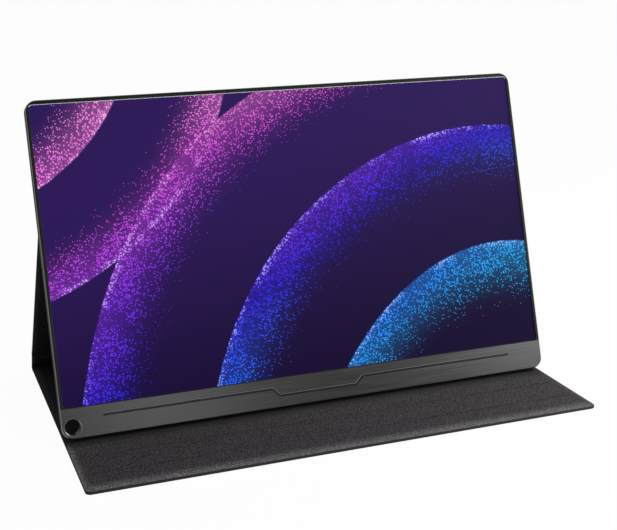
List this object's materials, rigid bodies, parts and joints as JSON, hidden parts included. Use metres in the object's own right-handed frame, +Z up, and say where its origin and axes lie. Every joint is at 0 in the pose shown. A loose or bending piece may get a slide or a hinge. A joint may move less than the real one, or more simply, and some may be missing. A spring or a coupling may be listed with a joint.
{
  "type": "portable monitor with cover",
  "caption": "Thin portable monitor with a tall brushed chin, held by magnets to a folding leatherette cover that stands it up as an easel.",
  "frame": {"origin": "on the table, under the middle of the whole object standing open", "axes": "+X to the right as the viewer sees the screen, +Y to the back, +Z up"},
  "size_m": [0.3507, 0.2234, 0.2125],
  "materials": {
    "leatherette": "fine grained leatherette, matt",
    "lining": "smooth woven-look lining",
    "greyboard": "pressed greyboard",
    "magnet": "nickel plated",
    "brushed_metal": "dark anodised, brushed along the width",
    "dark_housing": "dark anodised, fine matt",
    "bright_bush": "bright machined",
    "display_glass": "matt display surface",
    "film": "clear optical sheet",
    "white_plastic": "white moulded plastic",
    "sheet_steel": "plain steel",
    "circuit_board": "green solder mask",
    "black_plastic": "black moulded plastic",
    "lead_red": "red insulation"
  },
  "bodies": {
    "base": {"base_skin": "leatherette", "base_board": "greyboard", "base_lining": "lining", "base_magnets": "magnet", "rear_fold_leather": "leatherette"},
    "spine": {"spine_skin": "leatherette", "spine_board": "greyboard", "spine_lining": "lining", "spine_fold_leather": "leatherette"},
    "stand_panel": {"stand_skin": "leatherette", "stand_board": "greyboard", "stand_lining": "lining", "back_fold_leather": "leatherette"},
    "back_panel": {"back_panel_skin": "leatherette", "back_panel_board": "greyboard", "back_panel_lining": "lining", "back_panel_magnets": "magnet"},
    "monitor": {"front_frame": "brushed_metal", "display_surround": "black_plastic", "rear_housing": "dark_housing", "pen_hole_bush": "bright_bush", "lcd_cell": "display_glass", "optical_films": "film", "light_guide": "film", "reflector_sheet": "white_plastic", "panel_frame": "white_plastic", "panel_back_plate": "sheet_steel", "led_bar": "white_plastic", "tcon_board": "circuit_board", "main_board": "circuit_board", "board_chips": "black_plastic", "shield_can": "sheet_steel", "hdmi_socket": "sheet_steel", "usb_c_socket_1": "sheet_steel", "usb_c_socket_2": "sheet_steel", "headphone_socket": "black_plastic", "display_cable": "black_plastic", "speaker_left": "black_plastic", "speaker_right": "black_plastic", "speaker_leads": "lead_red", "key_board": "circuit_board", "jog_pin": "sheet_steel", "case_screws": "sheet_steel", "board_screws": "sheet_steel", "edge_magnets": "magnet", "back_magnets": "magnet"},
    "power_button": {"power_button": "black_plastic"},
    "back_button": {"back_button": "black_plastic"},
    "jog_wheel": {"jog_wheel": "black_plastic"}
  },
  "joints": [
    {"name": "rear_fold", "type": "hinge", "parent": "base", "child": "spine", "pos_m": [0, 0.11096, 0.0007], "axis": [1, 0, 0], "range_deg": [-116.3, 0], "deforming": ["rear_fold_leather"]},
    {"name": "spine_fold", "type": "hinge", "parent": "spine", "child": "stand_panel", "pos_m": [0, 0.10396, 0.01486], "axis": [1, 0, 0], "range_deg": [-12, 0], "deforming": ["spine_fold_leather"]},
    {"name": "back_fold", "type": "hinge", "parent": "stand_panel", "child": "back_panel", "pos_m": [0, 0.01141, 0.13202], "axis": [1, 0, 0], "range_deg": [0, 55.81], "deforming": ["back_fold_leather"]},
    {"name": "monitor_lift", "type": "slide", "parent": "back_panel", "child": "monitor", "axis": [0, 0.3007, 0.9537], "range_m": [0, 0.225]},
    {"name": "power_press", "type": "slide", "parent": "monitor", "child": "power_button", "axis": [-1, 0, 0], "range_m": [0, 0.0004], "stiffness_N_per_m": 400, "springref_m": -0.0005},
    {"name": "back_press", "type": "slide", "parent": "monitor", "child": "back_button", "axis": [-1, 0, 0], "range_m": [0, 0.0004], "stiffness_N_per_m": 400, "springref_m": -0.0005},
    {"name": "jog_turn", "type": "hinge", "parent": "monitor", "child": "jog_wheel", "pos_m": [0.1711, 0.00605, 0.13214], "axis": [0, 0.9537, -0.3007], "range_deg": [-20, 20], "stiffness_Nm_per_rad": 0.02}
  ],
  "couplings": [
    {"joint": "spine_fold", "follows": "rear_fold", "ratio": 0.10317},
    {"joint": "back_fold", "follows": "rear_fold", "ratio": -0.47983}
  ]
}
